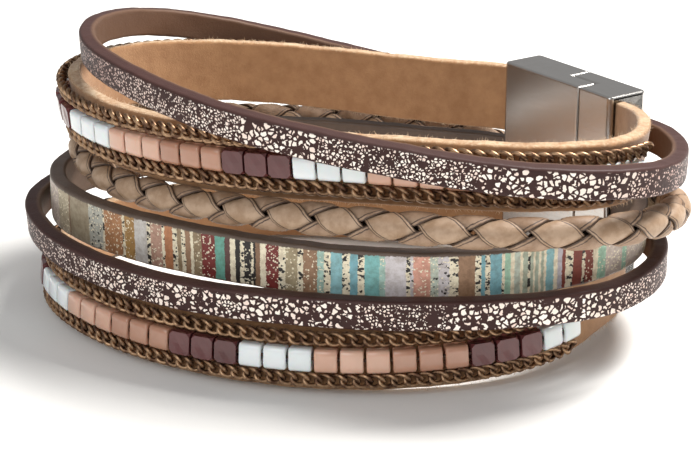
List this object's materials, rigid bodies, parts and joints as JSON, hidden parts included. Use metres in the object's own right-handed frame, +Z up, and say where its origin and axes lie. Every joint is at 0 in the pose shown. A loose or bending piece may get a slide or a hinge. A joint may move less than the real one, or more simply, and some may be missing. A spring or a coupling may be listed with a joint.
{
  "type": "layered leather bracelet",
  "caption": "Layered leather bracelet of suede, foil-printed, striped and braided strands with square beads and curb chain, joined by one tall magnetic clasp.",
  "frame": {"origin": "middle of the bottom of the part's box, on the floor that the bracelet lies on", "axes": "+Z up along the way the wrist goes through, +X along the longest side of the loop, the clasp towards +X and +Y"},
  "size_m": [0.0843, 0.059, 0.0347],
  "materials": {
    "clasp_metal": "polished silver-tone metal",
    "suede": "tan suede with a frayed cream edge",
    "foil_leather": "dark brown leather with crackled cream foil print",
    "striped_leather": "leather with printed glitter stripes and a taupe margin",
    "braid_leather": "taupe leather strips with dark raw edges",
    "beads": "polished opaque glass in white, peach, tan and plum",
    "thread": "waxed brown thread",
    "chain_metal": "antique copper-coloured plating"
  },
  "bodies": {
    "root": {"clasp_left": "clasp_metal", "clasp_right": "clasp_metal", "suede_strap_upper": "suede", "suede_strap_lower": "suede", "foil_strap_upper": "foil_leather", "foil_strap_lower": "foil_leather", "striped_strap": "striped_leather", "braid_strand_1": "braid_leather", "braid_strand_2": "braid_leather", "braid_strand_3": "braid_leather", "braid_strand_4": "braid_leather", "bead_row_upper": "beads", "bead_row_lower": "beads", "bead_thread_upper": "thread", "bead_thread_lower": "thread", "chain_upper_high": "chain_metal", "chain_upper_low": "chain_metal", "chain_lower_high": "chain_metal", "chain_lower_low": "chain_metal"}
  },
  "joints": []
}
